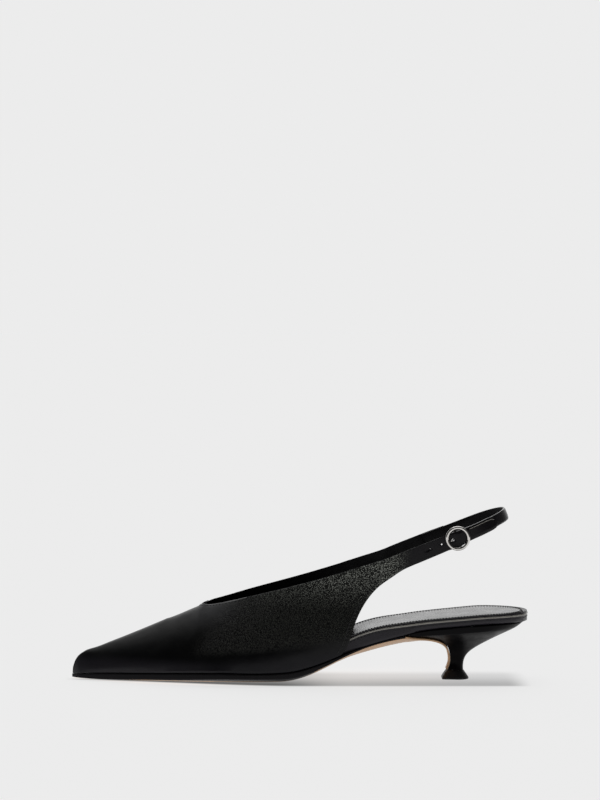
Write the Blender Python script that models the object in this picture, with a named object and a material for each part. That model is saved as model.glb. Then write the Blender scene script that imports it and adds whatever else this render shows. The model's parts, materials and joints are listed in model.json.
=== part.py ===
"""Slingback pump for the left foot: pointed toe, open sides, kitten heel and a buckled sling strap.

Metres. +X runs to the toe, +Y to the outer side of the foot and +Z up. The origin is the middle of
the underside of the top piece, on the floor. Lengths along the shoe are shares of SHOE_LENGTH, read
from the back of the seat.
"""

import math

import bmesh
import bpy
import numpy as np
from mathutils import Matrix, Vector

# Main sizes of the last
SHOE_LENGTH = 0.2600  # back of the seat to the tip of the toe
HEEL_SETBACK = 0.0411  # back of the seat to the middle of the top piece
BALL_WIDTH = 0.0752  # feather line of the upper across the ball
WAIST_WIDTH = 0.0508  # insole across the waist
SEAT_WIDTH = 0.0556  # insole across the seat
SEAT_HEIGHT = 0.0335  # floor to the underside of the insole at the back
FORE_HEIGHT = 0.0074  # floor to the feather line at the ball
TIP_ROUND = 0.0032  # length over which the toe tip is rounded
TOE_FILL = 0.0050  # leather and stiffener in the very point of the toe

# Upper
UPPER_WALL = 0.0016
NOSE_HEIGHT = 0.0170  # top of the toe where the nose turns down
THROAT_HEIGHT = 0.0429
THROAT_STATION = 0.1857  # throat, from the back of the seat
COLLAR_WIDTH = 0.0518  # over both wings where the straps start
WING_STATION = 0.1061  # foot of each wing's rear edge, from the back of the seat
SIDE_DROP = 0.0013  # the outer wing and strap lie this much lower than the inner ones
WALL_BULGE = 0.0012

# Sling strap and the tab that is buckled to it
STRAP_RISE = 0.385  # climb of the strap for each unit towards the back
STRAP_LEVEL = 0.0827  # middle of the strap above the top piece
STRAP_BACK = 0.0297  # back of the strap, behind the middle of the top piece
STRAP_LIFT = 0.0006  # how much the loop turns up at the back of the heel
STRAP_WIDTH = 0.0072
STRAP_BACK_WIDTH = 0.0065  # round the back of the heel
STRAP_THICKNESS = 0.0017
TAB_WIDTH = 0.0075
TAB_FLARE = 0.0016  # how much deeper the tab is where it grows out of the wing
TAB_REACH = 0.0240  # the tab's tip, along the strap behind the buckle
HOLE_PITCH = 0.0069
HOLE_RADIUS = 0.0007

# Buckle
BUCKLE_DIAMETER = 0.0140
BUCKLE_WIRE = 0.0019
BAR_DIAMETER = 0.0014
PRONG_DIAMETER = 0.0009
CHAPE_THICKNESS = 0.0012  # the strap where it is folded round the bar
CHAPE_TAIL = 0.0080

# Sole, insole and heel
SOLE_CAMBER = 0.0042  # rise of the sole's edge over its middle at the ball
TREAD_SHARE = 0.30  # flat share of the underside's half width
TOE_SPRING = 0.0005
SOLE_PROJECTION = 0.0003  # sole edge beyond the upper
FLAP_THICKNESS = 0.0011  # sole leather down the front of the heel
INSOLE_THICKNESS = 0.0054  # where its wrapped edge shows round the seat
WAIST_THICKNESS = 0.0086  # where its wrapped edge goes in under the wings
INSOLE_INSIDE = 0.0024  # inside the upper
SOCK_THICKNESS = 0.0008
SOCK_BORDER = 0.0026  # insole rim left round the sock
BREAST_REACH = 0.0285  # front of the heel cup, ahead of the top piece
CUP_INSET = 0.0004
NECK_LENGTH = 0.0076
NECK_WIDTH = 0.0078
TOP_PIECE_LENGTH = 0.0154
TOP_PIECE_WIDTH = 0.0146
TOP_PIECE_HEIGHT = 0.0049

FIT_GAP = 0.0003  # between pieces that touch

# Share of length, then which width the share belongs to, half width share, sideways swing of the
# middle as a share of the ball width.
OUTLINE = (
    ("at", "width", "share", "swing"),
    (0.127, "seat", 1.000, 0.000),
    (0.216, "seat", 0.948, 0.000),
    (0.273, "waist", 1.006, 0.000),
    (0.331, "waist", 0.990, 0.005),
    (0.408, "waist", 1.024, 0.010),
    (0.466, "ball", 0.803, 0.013),
    (0.520, "ball", 0.899, 0.010),
    (0.608, "ball", 1.000, 0.003),
    (0.662, "ball", 1.000, -0.007),
    (0.735, "ball", 0.885, -0.021),
    (0.831, "ball", 0.640, -0.036),
    (0.908, "ball", 0.402, -0.038),
    (0.966, "ball", 0.197, -0.041),
    (1.000, "ball", 0.070, -0.044),
)

# Underside of the insole and upper: climb from the forepart to the seat, and share of FORE_HEIGHT.
FEATHER = (
    ("at", "climb", "fore"),
    (0.000, 1.000, 1.00),
    (0.093, 0.989, 1.00),
    (0.162, 0.931, 1.00),
    (0.204, 0.895, 1.00),
    (0.244, 0.838, 1.00),
    (0.273, 0.758, 1.00),
    (0.304, 0.686, 1.00),
    (0.335, 0.606, 1.00),
    (0.370, 0.503, 1.00),
    (0.395, 0.398, 1.00),
    (0.434, 0.234, 1.00),
    (0.456, 0.155, 1.00),
    (0.489, 0.061, 1.00),
    (0.520, 0.004, 0.99),
    (0.550, 0.000, 0.95),
    (0.604, 0.000, 0.95),
    (0.662, 0.000, 0.99),
    (0.750, 0.000, 0.88),
    (0.831, 0.000, 0.73),
    (0.935, 0.000, 0.53),
    (1.000, 0.000, 0.30),
)

# Middle of the sole's underside as a share of SEAT_HEIGHT, and rise of its edge as a share of SOLE_CAMBER.
UNDERSIDE = (
    ("at", "middle", "camber", "spring"),
    (0.240, 0.690, 0.60, 0.0),
    (0.273, 0.640, 1.00, 0.0),
    (0.304, 0.592, 1.05, 0.0),
    (0.335, 0.531, 1.05, 0.0),
    (0.370, 0.457, 0.92, 0.0),
    (0.391, 0.416, 0.72, 0.0),
    (0.412, 0.354, 0.61, 0.0),
    (0.434, 0.264, 0.65, 0.0),
    (0.456, 0.184, 0.70, 0.0),
    (0.477, 0.109, 0.75, 0.0),
    (0.499, 0.054, 0.80, 0.0),
    (0.520, 0.000, 0.88, 0.0),
    (0.550, 0.000, 0.95, 0.0),
    (0.662, 0.000, 1.00, 0.0),
    (0.750, 0.000, 0.71, 0.0),
    (0.831, 0.000, 0.45, 0.0),
    (0.935, 0.000, 0.10, 0.2),
    (1.000, 0.000, 0.00, 1.0),
)

# Closed part of the upper: where each section meets the feather line and the ridge, the ridge's height
# between the nose and the throat, and the roundness of the section.
VAMP = (
    ("foot", "top", "nose", "throat", "crown", "round"),
    (1.0000, 0.9990, 0.35, 0.000, 1.9, 0.80),
    (0.9970, 0.9955, 0.53, 0.000, 1.9, 0.72),
    (0.9905, 0.9885, 0.72, 0.000, 1.9, 0.66),
    (0.9790, 0.9765, 0.87, 0.000, 1.9, 0.62),
    (0.9600, 0.9560, 1.00, 0.000, 1.9, 0.60),
    (0.9270, 0.9215, 1.00, 0.129, 1.8, 0.60),
    (0.8810, 0.8720, 1.00, 0.324, 1.8, 0.61),
    (0.8310, 0.8195, 1.00, 0.544, 1.7, 0.62),
    (0.7810, 0.7655, 1.00, 0.780, 1.7, 0.63),
    (0.7430, 0.7325, 1.00, 0.940, 1.7, 0.64),
    (0.7260, 0.7142, 1.00, 1.000, 1.7, 0.64),
)

# Open part of the upper, from the throat back: the foot of each section on the feather line, the topline's
# place, its climb from the throat to the strap, half width of the opening, and the section's roundness.
QUARTER = (
    ("foot", "top", "climb", "spread", "crown", "round"),
    (0.7235, 0.7110, 0.005, 0.120, 1.7, 0.64),
    (0.7195, 0.7050, 0.010, 0.215, 1.7, 0.64),
    (0.7090, 0.6920, 0.026, 0.350, 1.7, 0.64),
    (0.6850, 0.6640, 0.078, 0.500, 1.7, 0.65),
    (0.6400, 0.6250, 0.163, 0.635, 1.7, 0.66),
    (0.5900, 0.5800, 0.258, 0.740, 1.7, 0.67),
    (0.5380, 0.5250, 0.374, 0.822, 1.7, 0.68),
    (0.4860, 0.4760, 0.484, 0.874, 1.7, 0.69),
    (0.4430, 0.4440, 0.561, 0.902, 1.7, 0.70),
    (0.4081, 0.4210, 0.617, 0.920, 1.7, 0.70),
)

# Rear edge of each wing, from the feather line up to the strap: place and height of the edge, half width
# there, and the topline above it.
WING = (
    ("foot", "height", "width", "top", "climb", "spread"),
    (0.4010, 0.067, 1.022, 0.4080, 0.650, 0.928),
    (0.3915, 0.149, 1.043, 0.3950, 0.687, 0.935),
    (0.3830, 0.310, 1.060, 0.3800, 0.724, 0.943),
    (0.3690, 0.472, 1.059, 0.3620, 0.773, 0.952),
    (0.3500, 0.618, 1.045, 0.3450, 0.815, 0.960),
    (0.3270, 0.735, 1.030, 0.3280, 0.858, 0.970),
    (0.3010, 0.811, 1.011, 0.3090, 0.911, 0.982),
)

# Heel, from the top piece up to the cup: height as a share of SEAT_HEIGHT, then each reach as a share of
# the neck plus a share of the cup, and how far the section has turned from neck to seat outline.
HEEL = (
    ("front_z", "back_z", "front", "cup_front", "back", "cup_back", "neck", "cup", "turn"),
    (0.000, 0.000, 1.10, 0.000, 1.26, 0.000, 1.15, 0.000, 0.00),
    (0.075, 0.070, 0.88, 0.000, 1.22, 0.000, 1.02, 0.000, 0.00),
    (0.160, 0.180, 0.69, 0.000, 1.29, 0.000, 0.97, 0.000, 0.00),
    (0.275, 0.292, 0.59, 0.015, 1.38, 0.025, 1.00, 0.018, 0.00),
    (0.400, 0.400, 0.58, 0.042, 1.27, 0.115, 0.95, 0.095, 0.10),
    (0.525, 0.525, 0.50, 0.118, 1.03, 0.285, 0.80, 0.275, 0.30),
    (0.630, 0.655, 0.44, 0.258, 0.72, 0.490, 0.60, 0.500, 0.55),
    (0.695, 0.775, 0.34, 0.475, 0.40, 0.690, 0.40, 0.700, 0.78),
    (0.727, 0.865, 0.20, 0.690, 0.20, 0.850, 0.20, 0.855, 0.92),
    (0.750, 0.925, 0.00, 0.900, 0.00, 0.935, 0.00, 0.960, 1.00),
)

TIP_X = SHOE_LENGTH - HEEL_SETBACK
BACK_X = -HEEL_SETBACK
PITCH = math.atan(STRAP_RISE)
HALF_COLLAR = COLLAR_WIDTH / 2
STRAP_MIDDLE = HALF_COLLAR - UPPER_WALL - FIT_GAP - STRAP_THICKNESS / 2
BAR_DEPTH = BAR_DIAMETER / 2 + FIT_GAP + CHAPE_THICKNESS / 2
RING_RADIUS = (BUCKLE_DIAMETER - BUCKLE_WIRE) / 2


def column(table, name):
    """The named column of a table whose first row names its columns."""
    index = table[0].index(name)
    return [row[index] for row in table[1:]]


def smooth(xs, ys, at):
    """Monotone cubic curve through the points, at one place."""
    xs = np.asarray(xs, float)
    ys = np.asarray(ys, float)
    if xs[0] > xs[-1]:
        xs = xs[::-1]
        ys = ys[::-1]
    step = np.diff(xs)
    rise = np.diff(ys) / step
    slope = np.zeros(len(xs))
    slope[0] = rise[0]
    slope[-1] = rise[-1]
    for i in range(1, len(xs) - 1):
        if rise[i - 1] * rise[i] > 0:
            first = 2 * step[i] + step[i - 1]
            last = step[i] + 2 * step[i - 1]
            slope[i] = (first + last) / (first / rise[i - 1] + last / rise[i])
    at = min(max(at, xs[0]), xs[-1])
    i = min(max(int(np.searchsorted(xs, at, side="right")) - 1, 0), len(xs) - 2)
    t = (at - xs[i]) / step[i]
    keep = (1 + 2 * t) * (1 - t) ** 2
    return float(
        keep * ys[i]
        + (1 - keep) * ys[i + 1]
        + step[i] * (t * (1 - t) ** 2 * slope[i] - t * t * (1 - t) * slope[i + 1])
    )


def from_table(table, name, at):
    return smooth(column(table, table[0][0]), column(table, name), at)


def share_of(x):
    return (x - BACK_X) / SHOE_LENGTH


def place(share):
    return BACK_X + share * SHOE_LENGTH


def ease(t):
    t = min(max(t, 0.0), 1.0)
    return t * t * (3 - 2 * t)


def outline_widths():
    """Half widths of the upper's feather line at the table's stations."""
    around = UPPER_WALL + FIT_GAP
    sizes = {
        "seat": SEAT_WIDTH / 2 + around,
        "waist": WAIST_WIDTH / 2 + around,
        "ball": BALL_WIDTH / 2,
    }
    return [sizes[row[1]] * row[2] for row in OUTLINE[1:]]


WIDTHS = outline_widths()
SEAT_MIDDLE = place(OUTLINE[1][0])


def half_width(x, inset=0.0, tip=0.0):
    """Half width of the feather line, moved in by inset, with its toe tip moved back by tip."""
    if x < SEAT_MIDDLE:
        reach = SEAT_MIDDLE - BACK_X + UPPER_WALL + FIT_GAP - inset
        along = min((SEAT_MIDDLE - x) / reach, 1.0)
        return (WIDTHS[0] - inset) * (1 - along**2.15) ** (1 / 2.15)
    wide = smooth(column(OUTLINE, "at"), WIDTHS, share_of(x)) - inset
    end = min(max((TIP_X - tip - x) / TIP_ROUND, 0.0), 1.0)
    return max(wide, 0.0) * math.sqrt(end)


def middle(x):
    """Sideways place of the last's middle line."""
    return BALL_WIDTH * from_table(OUTLINE, "swing", share_of(x))


def feather(x):
    """Height of the line where the upper or insole meets what lies under it."""
    at = share_of(x)
    fore = FORE_HEIGHT * from_table(FEATHER, "fore", at)
    return fore + (SEAT_HEIGHT - FORE_HEIGHT) * from_table(FEATHER, "climb", at)


def camber(x):
    return SOLE_CAMBER * from_table(UNDERSIDE, "camber", share_of(x))


def underside(x):
    at = share_of(x)
    return SEAT_HEIGHT * from_table(UNDERSIDE, "middle", at) + TOE_SPRING * from_table(UNDERSIDE, "spring", at)


def dish(x):
    """Sag of the sole's upper face below the feather line, in its middle."""
    ahead = ease((x - BREAST_REACH) / (0.12 * SHOE_LENGTH))
    return 0.7 * camber(x) * ahead


def strap_height(x, y):
    """Height of the strap's middle line, which lies lower on the outer side."""
    return STRAP_LEVEL - STRAP_RISE * x - SIDE_DROP * y / COLLAR_WIDTH


def loop_path(along, out):
    """Strap loop from the outer side round the back: (run, y) of the middle line moved out, and its normal.

    Run is the distance up the slope from over the top piece.
    """
    depth = STRAP_BACK / math.cos(PITCH) - STRAP_THICKNESS / 2
    start = depth - STRAP_MIDDLE
    if along <= start:
        return along, STRAP_MIDDLE + out
    angle = (along - start) / STRAP_MIDDLE
    if angle <= math.pi:
        reach = STRAP_MIDDLE + out
        return start + reach * math.sin(angle), reach * math.cos(angle)
    return start - (angle - math.pi) * STRAP_MIDDLE, -(STRAP_MIDDLE + out)


def strap_point(run, y, up):
    """Point at a run along the strap's slope; up is the distance across the strap from its middle."""
    x = -run * math.cos(PITCH) + up * math.sin(PITCH)
    z = strap_height(-run * math.cos(PITCH), y) + up * math.cos(PITCH)
    return (x, y, z + STRAP_LIFT * towards_back(run))


def towards_back(run):
    """0 by the buckle and 1 round the back of the heel."""
    return ease((run / STRAP_BACK - 0.25) / 0.55)


def spread_rows(table, names, steps):
    """The table's rows with steps - 1 smooth rows between each pair."""
    count = len(table) - 1
    knots = list(range(count))
    rows = []
    for i in range((count - 1) * steps + 1):
        rows.append([smooth(knots, column(table, name), i / steps) for name in names])
    return rows


def levels_of(count):
    """Steps up a section, closer together towards its top."""
    return [1 - (1 - j / count) ** 1.5 for j in range(count + 1)]


def section(foot, top, across, crown, roundness, bulge):
    """One side of a section, from the feather line up to the ridge or the topline.

    Across gives the half widths at foot and top. The arch would close over the middle, and an open
    section stops where it has come in to the topline.
    """
    side = 1 if across[0] > 0 else -1
    stop = (1 - (across[1] / across[0]) ** (1 / roundness)) ** (1 / crown) if across[0] else 1.0
    points = []
    for v in levels_of(LEVELS):
        arch = max(1 - (v * stop) ** crown, 0.0) ** roundness
        swell = bulge * side * (v / 0.3) * math.exp(1 - v / 0.3) * (1 - v)
        centre = (foot[1] - across[0]) * (1 - v) + (top[1] - across[1]) * v
        y = centre + across[0] * arch + swell
        points.append((foot[0] + (top[0] - foot[0]) * v, y, foot[2] + (top[2] - foot[2]) * v))
    return points


def wing_section(foot, top, lean, bulge):
    """One section of a wing, from its rear edge up to the topline."""
    side = 1 if foot[1] > 0 else -1
    points = []
    for v in levels_of(LEVELS):
        y = top[1] + (foot[1] - top[1]) * (1 - v**lean)
        y += bulge * side * (v / 0.3) * math.exp(1 - v / 0.3) * (1 - v)
        points.append((foot[0] + (top[0] - foot[0]) * v, y, foot[2] + (top[2] - foot[2]) * v))
    return points


def ridge_height(nose, throat):
    return NOSE_HEIGHT * nose + (THROAT_HEIGHT - NOSE_HEIGHT) * throat


def collar_height(climb, x, side):
    """Topline height between the throat and the strap."""
    top = strap_height(WING_STRAP_X, 0) + TAB_WIDTH * 0.5 / math.cos(PITCH)
    height = THROAT_HEIGHT + (top - THROAT_HEIGHT) * climb
    return height - side * SIDE_DROP / 2 * ease((TIP_X * 0.66 - x) / (0.02 * SHOE_LENGTH))


WING_STRAP_X = place(0.285)
LEVELS = 9
WAIST_START = BREAST_REACH + 0.0025


def station(share):
    """Place of a table's share: the shares between follow the wing's foot and the throat."""
    low = column(QUARTER, "foot")[-1]
    high = column(VAMP, "top")[-1]
    wing = WING_STATION / SHOE_LENGTH
    throat = THROAT_STATION / SHOE_LENGTH
    if share >= high:
        return place(1 - (1 - share) * (1 - throat) / (1 - high))
    if share <= low:
        return place(share * wing / low)
    return place(wing + (share - low) * (throat - wing) / (high - low))


def bulge_at(x):
    return WALL_BULGE * ease((TIP_X - x) / (0.12 * SHOE_LENGTH))


def vamp_columns(side, inner):
    columns = []
    for foot, top, nose, throat, crown, roundness in spread_rows(VAMP, VAMP[0], 2):
        x_foot = station(foot)
        x_top = station(top)
        z_top = ridge_height(nose, throat)
        if inner:
            fade = math.exp(-(TIP_X - x_top) / (0.03 * SHOE_LENGTH))
            thick = UPPER_WALL + (TOE_FILL - UPPER_WALL) * fade
            x_foot -= thick
            x_top -= thick * (0.35 + 0.65 * fade)
            z_top -= thick * (1.02 - 0.35 * fade)
            z_top = max(z_top, feather(x_foot) + FIT_GAP + 0.3 * TOE_FILL)
        wide = half_width(x_foot, UPPER_WALL if inner else 0.0, TOE_FILL if inner else 0.0)
        start = (x_foot, middle(x_foot) + side * wide, feather(x_foot) + FIT_GAP)
        end = (x_top, middle(x_top), z_top)
        columns.append(section(start, end, (side * wide, 0.0), crown, roundness, bulge_at(x_foot)))
    return columns


def upper_columns(side, inner):
    """Sections of one side of the upper, toe to strap. The inner ones bound the hollow."""
    wall = UPPER_WALL if inner else 0.0
    columns = vamp_columns(side, inner)
    for foot, top, climb, spread, crown, roundness in spread_rows(QUARTER, QUARTER[0], 2):
        x_foot = station(foot)
        wide = half_width(x_foot, wall)
        start = (x_foot, middle(x_foot) + side * wide, feather(x_foot) + FIT_GAP)
        end, opening = topline_point(station(top), climb, spread, side, wall)
        columns.append(section(start, end, (side * wide, opening), crown, roundness, bulge_at(x_foot)))
    corner = place(WING_STATION / SHOE_LENGTH)
    low = feather(corner)
    for foot, height, width, top, climb, spread in spread_rows(WING, WING[0], 1):
        x_foot = station(foot)
        z_foot = low + (strap_height(WING_STRAP_X, 0) - low) * height
        wide = (half_width(corner) * (1 - height) + HALF_COLLAR * height) * width
        start = (x_foot, middle(x_foot) + side * (wide - wall), z_foot)
        end, _ = topline_point(station(top), climb, spread, side, wall)
        fade = 1 - height
        columns.append(wing_section(start, end, 1.0 + 0.7 * fade, 0.6 * bulge_at(x_foot) * fade))
    columns.extend(tab_columns(side, wall))
    return columns


def topline_point(x, climb, spread, side, wall):
    wide = HALF_COLLAR * spread
    turn = ease(wide / (0.35 * HALF_COLLAR)) * math.pi / 2
    z = collar_height(climb, x, side)
    opening = side * (wide - wall * math.sin(turn))
    return (x, middle(x) * (1 - climb) + opening, z - wall * math.cos(turn)), opening


def tab_columns(side, wall):
    """Strap end of a wing. The outer one runs on through the buckle and ends in a round tip."""
    out = STRAP_THICKNESS / 2 + FIT_GAP + UPPER_WALL - wall
    first = -WING_STRAP_X / math.cos(PITCH)
    if side > 0:
        last = TAB_REACH
        stops = [first, first * 0.78, first * 0.55, first * 0.3, 0.0]
        stops += [last * share for share in (0.22, 0.42, 0.58, 0.70, 0.80)]
        stops += [last - TAB_WIDTH / 2 * share for share in (0.62, 0.36, 0.16, 0.04)]
    else:
        last = -0.0035 / math.cos(PITCH)
        stops = [first, first * 0.78, first * 0.55, first * 0.32, last]
    columns = []
    for stop in sorted(stops):
        high = TAB_WIDTH / 2
        low = high + TAB_FLARE * tab_flare(stop, side)
        from_end = last - stop
        if side > 0 and from_end < TAB_WIDTH / 2:
            end = math.sqrt(max(1 - (1 - from_end / (TAB_WIDTH / 2)) ** 2, 0.06))
            high *= end
            low *= end
        points = []
        for v in levels_of(LEVELS):
            run, y = loop_path(stop, out)
            points.append(strap_point(run, side * y, high * v - low * (1 - v)))
        columns.append(points)
    return columns


def tab_flare(stop, side):
    """Share of the tab's flare at a run along it. It is behind the buckle that the outer one is slim."""
    first = -WING_STRAP_X / math.cos(PITCH)
    if side > 0:
        return 0.5 * ease((0.35 * TAB_REACH - stop) / (0.6 * TAB_REACH)) + 0.5 * ease(stop / first)
    return ease(stop / first)


def new_material(name, colour, roughness, metallic=0.0):
    material = bpy.data.materials.new(name)
    material.use_nodes = True
    shader = material.node_tree.nodes["Principled BSDF"]
    shader.inputs["Base Color"].default_value = (*colour, 1.0)
    shader.inputs["Roughness"].default_value = roughness
    shader.inputs["Metallic"].default_value = metallic
    return material


def finish(bm, name, collection, material, angle=35):
    """Welds the mesh, turns its faces outward and makes it an object."""
    bmesh.ops.remove_doubles(bm, verts=bm.verts, dist=1e-6)
    bmesh.ops.dissolve_degenerate(bm, edges=bm.edges, dist=1e-6)
    bmesh.ops.recalc_face_normals(bm, faces=bm.faces)
    mesh = bpy.data.meshes.new(name)
    bm.to_mesh(mesh)
    bm.free()
    if material:
        mesh.materials.append(material)
        mesh.shade_smooth()
        mesh.set_sharp_from_angle(angle=math.radians(angle))
    obj = bpy.data.objects.new(name, mesh)
    collection.objects.link(obj)
    return obj


def add_grid(bm, rows):
    """Quads between neighbouring rows of points."""
    verts = [[bm.verts.new(point) for point in row] for row in rows]
    for above, below in zip(verts, verts[1:]):
        for j in range(len(above) - 1):
            bm.faces.new((above[j], above[j + 1], below[j + 1], below[j]))


def ring_solid(name, rings, collection, material, angle=35):
    """Closed body through rings of points, capped at both ends."""
    bm = bmesh.new()
    verts = [[bm.verts.new(point) for point in ring] for ring in rings]
    count = len(rings[0])
    for low, high in zip(verts, verts[1:]):
        for j in range(count):
            k = (j + 1) % count
            bm.faces.new((low[j], low[k], high[k], high[j]))
    bm.faces.new(verts[0])
    bm.faces.new(verts[-1])
    return finish(bm, name, collection, material, angle)


def make_upper(collection, material):
    bm = bmesh.new()
    for side in (1, -1):
        outer = upper_columns(side, False)
        inner = upper_columns(side, True)
        add_grid(bm, outer)
        add_grid(bm, inner)
        add_grid(bm, [[a[0], b[0]] for a, b in zip(outer, inner)])
        closed = 2 * (len(VAMP) - 2)
        add_grid(bm, [[a[-1], b[-1]] for a, b in zip(outer[closed:], inner[closed:])])
        add_grid(bm, [outer[-1], inner[-1]])
    return finish(bm, "upper", collection, material, 40)


def strip_profile(count):
    """Stations across a strip, from -1 to 1, closer together at the edges."""
    return [math.sin(math.pi / 2 * (2 * i / count - 1)) for i in range(count + 1)]


def rise_of(v):
    """Share of the camber at a place across the sole."""
    return (max(abs(v) - TREAD_SHARE, 0) / (1 - TREAD_SHARE)) ** 2


def toe_stations(end, start, count):
    """Places from the toe back, close together where the tip is round."""
    return [end - (end - start) * (i / count) ** 1.7 for i in range(count + 1)]


def heel_reach(row):
    """Front and back (x, z) and half width of one section of the heel."""
    front_z, back_z, front, cup_front, back, cup_back, neck, cup, _ = row
    base = TOP_PIECE_HEIGHT + FIT_GAP
    high = SEAT_HEIGHT - base
    cup_length = HEEL_SETBACK - CUP_INSET
    front_point = (
        NECK_LENGTH / 2 * front + BREAST_REACH * cup_front,
        base + high * front_z,
    )
    back_point = (
        -NECK_LENGTH / 2 * back - cup_length * cup_back,
        base + high * back_z,
    )
    wide = NECK_WIDTH / 2 * neck + (SEAT_WIDTH / 2 - CUP_INSET) * cup
    return front_point, back_point, wide


def breast_curve():
    """The heel's front line from the top piece up to the front of the cup: (x, z, half width)."""
    line = []
    for row in HEEL[1:]:
        front, _, wide = heel_reach(row)
        line.append((front[0], front[1], wide * front_share(row[-1])))
    return line


def front_share(turn):
    """How wide the flat front is, against the widest place of the section."""
    return 0.86 + 0.08 * turn


def side_shape(t, turn):
    """Half width along a heel section, from its front at 0 to its back at 1."""
    neck = math.sqrt(max(1 - max((t - 0.42) / 0.58, 0) ** 2, 0))
    neck *= 0.86 + 0.14 * min(t / 0.42, 1)
    x = BREAST_REACH - (BREAST_REACH + HEEL_SETBACK - CUP_INSET) * t
    inset = UPPER_WALL + FIT_GAP + CUP_INSET
    seat = half_width(x, inset) / (SEAT_WIDTH / 2 - CUP_INSET)
    return neck * (1 - turn) + seat * turn


def heel_ring(front, back, wide, turn, top):
    half = []
    steps = 12
    for i in range(steps + 1):
        t = 1 - math.cos(math.pi / 2 * i / steps)
        t = 0.4 * t + 0.6 * math.sin(math.pi / 2 * i / steps)
        x = front[0] + (back[0] - front[0]) * t
        z = feather(x) if top else front[1] + (back[1] - front[1]) * t
        half.append((x, wide * side_shape(t, turn), z))
    right = [(x, y + middle(x) * turn, z) for x, y, z in half]
    left = [(x, -y + middle(x) * turn, z) for x, y, z in half[-2::-1]]
    return right + left


def make_heel(collection, material):
    rings = []
    for row in HEEL[1:]:
        front, back, wide = heel_reach(row)
        rings.append(heel_ring(front, back, wide, row[-1], False))
    front = (BREAST_REACH, 0)
    back = (-(HEEL_SETBACK - CUP_INSET), 0)
    rings.append(heel_ring(front, back, SEAT_WIDTH / 2 - CUP_INSET, 1.0, True))
    return ring_solid("heel", rings, collection, material)


def make_top_piece(collection, material):
    """Flared block with a flat front face and a round back, standing on the floor."""
    rings = []
    for z, length, front, wide in (
        (0.0, TOP_PIECE_LENGTH, 0.50, TOP_PIECE_WIDTH),
        (0.16 * TOP_PIECE_HEIGHT, TOP_PIECE_LENGTH, 0.50, TOP_PIECE_WIDTH),
        (TOP_PIECE_HEIGHT, NECK_LENGTH * 1.32, 0.52, NECK_WIDTH * 1.2),
    ):
        reach_back = length * (1 - front)
        ring = [(length * front, -wide * 0.43, z), (length * front, wide * 0.43, z)]
        for i in range(17):
            angle = math.pi / 2 + math.pi * i / 16
            x = -reach_back * abs(math.cos(angle)) ** 0.75
            ring.append((x, wide / 2 * math.sin(angle), z))
        rings.append(ring)
    return ring_solid("top_piece", rings, collection, material, 30)


def sole_ring(top, edge, normal, sag, lift, left, right, full):
    """Cross section of the sole: upper face from one edge to the other, then the underside back."""
    across = strip_profile(12)
    upper = []
    lower = []
    for v in across:
        y = (left + right) / 2 + (left - right) / 2 * v
        down = sag * max(1 - ((left - right) / 2 * v / full) ** 2, 0)
        upper.append((top[0] + normal[0] * down, y, top[1] + normal[1] * down))
        drop = lift * (1 - rise_of(v))
        lower.append((edge[0] + normal[0] * drop, y, edge[1] + normal[1] * drop))
    return upper + lower[::-1]


def make_outsole(collection, material):
    rings = []
    line = breast_curve()
    flap = []
    for i, (x, z, wide) in enumerate(line):
        before = line[max(i - 1, 0)]
        after = line[min(i + 1, len(line) - 1)]
        run = math.hypot(after[0] - before[0], after[1] - before[1])
        normal = ((after[1] - before[1]) / run, -(after[0] - before[0]) / run)
        flap.append((x, z, wide, normal))
    for x, z, wide, normal in flap:
        top = (x + normal[0] * FIT_GAP, z + normal[1] * FIT_GAP)
        edge = (top[0] + normal[0] * FLAP_THICKNESS, top[1] + normal[1] * FLAP_THICKNESS)
        lift = camber(x) * ease((x / BREAST_REACH - 0.35) / 0.65)
        rings.append(sole_ring(top, edge, normal, 0.0, lift, wide + middle(x), middle(x) - wide, wide))
    start = BREAST_REACH + FIT_GAP
    tip = TIP_X + SOLE_PROJECTION
    fore = place(0.84)
    stations = [start] + waist_stations(fore) + toe_stations(tip - 0.0002, fore, 9)[-2::-1]
    for i, x in enumerate(stations):
        height = feather(x)
        if i == 0:
            height = line[-1][1] + 0.0002
        low = underside(x) + camber(x)
        past = (UPPER_WALL + FIT_GAP) * ease((place(0.40) - x) / (0.05 * SHOE_LENGTH))
        inset = past + CUP_INSET * 0.5 * (past > 0) - SOLE_PROJECTION * (past == 0)
        wide = max(half_width(x, inset, -SOLE_PROJECTION), 0.0006)
        left = middle(x) + wide
        right = middle(x) - wide
        full = max(half_width(x), 0.0006)
        rings.append(sole_ring((x, height), (x, low), (0, -1), dish(x), camber(x), left, right, full))
    return ring_solid("outsole", rings, collection, material)


def insole_top(x):
    """Height of the insole's upper face at its rim."""
    waist = ease((x - place(0.22)) / (0.13 * SHOE_LENGTH))
    inside = ease((x - place(0.40)) / (0.10 * SHOE_LENGTH))
    edge = INSOLE_THICKNESS + (WAIST_THICKNESS - INSOLE_THICKNESS) * waist
    return feather(x) + FIT_GAP + edge + (INSOLE_INSIDE - edge) * inside


def insole_half(x, inset):
    """Half width of the insole, moved in by inset. It has a gap to the upper that is around it."""
    gap = 2 * FIT_GAP if x > place(0.38) else FIT_GAP
    return half_width(x, UPPER_WALL + gap + inset, TOE_FILL + 2 * FIT_GAP + inset)


def bed_stations(back, tip):
    """Places along the foot: even over the waist and ball, closer towards the round back and the toe."""
    middle_x = place(0.12)
    fore = place(0.84)
    turned = [middle_x - (middle_x - back) * math.sin(math.pi / 2 * i / 7) for i in range(7, -1, -1)]
    seat = [middle_x + (WAIST_START - middle_x) * i / 5 for i in range(1, 5)]
    return turned + seat + waist_stations(fore) + toe_stations(tip, fore, 6)[-2::-1]


def waist_stations(fore):
    """Places shared by the sole and the insole, so that their facets lie alongside."""
    return [WAIST_START + (fore - WAIST_START) * (i / 20) for i in range(21)]


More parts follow.
